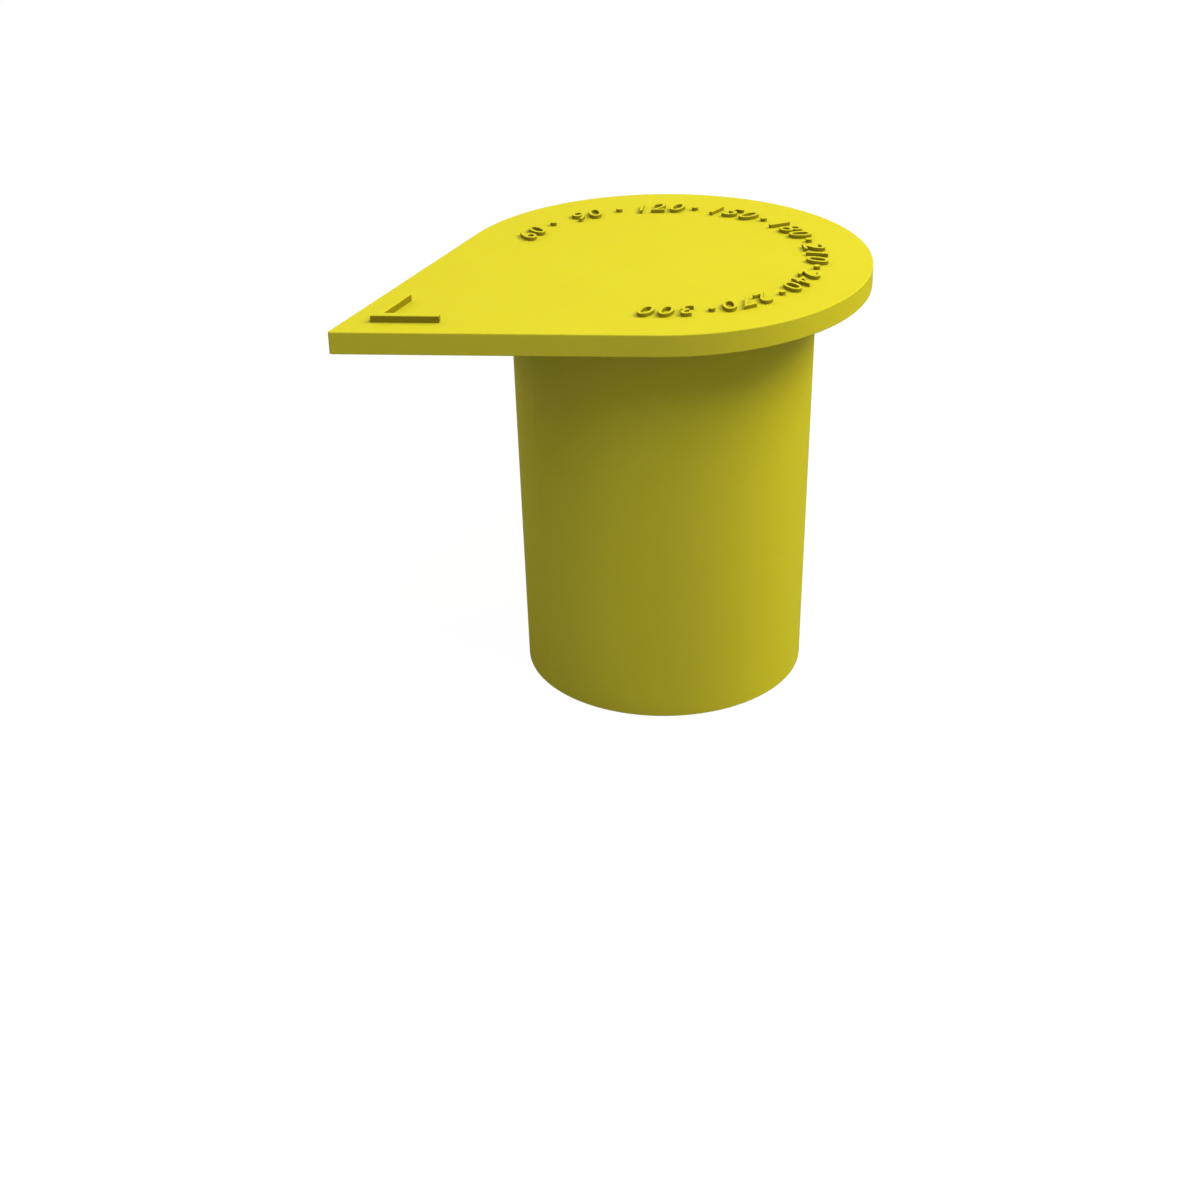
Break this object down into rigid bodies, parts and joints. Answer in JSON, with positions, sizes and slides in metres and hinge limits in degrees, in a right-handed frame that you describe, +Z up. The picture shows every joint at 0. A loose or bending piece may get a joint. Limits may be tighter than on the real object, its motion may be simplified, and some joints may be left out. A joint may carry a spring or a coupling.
{
  "type": "loose wheel nut indicator",
  "caption": "Moulded plastic cap with a flat teardrop pointer plate over a plain tapered cup, serrated inside to grip a hexagon wheel nut and show when the nut turns.",
  "frame": {"origin": "on the cup's axis, in the plane of the mouth's rim", "axes": "+Z up along the cup's axis from the mouth to the plate; +X from the cup's axis towards the pointer's tip"},
  "size_m": [0.0779, 0.0566, 0.0614],
  "materials": {
    "moulded_plastic": "bright yellow, satin, as moulded"
  },
  "bodies": {
    "root": {"indicator_cap": "moulded_plastic"}
  },
  "joints": []
}
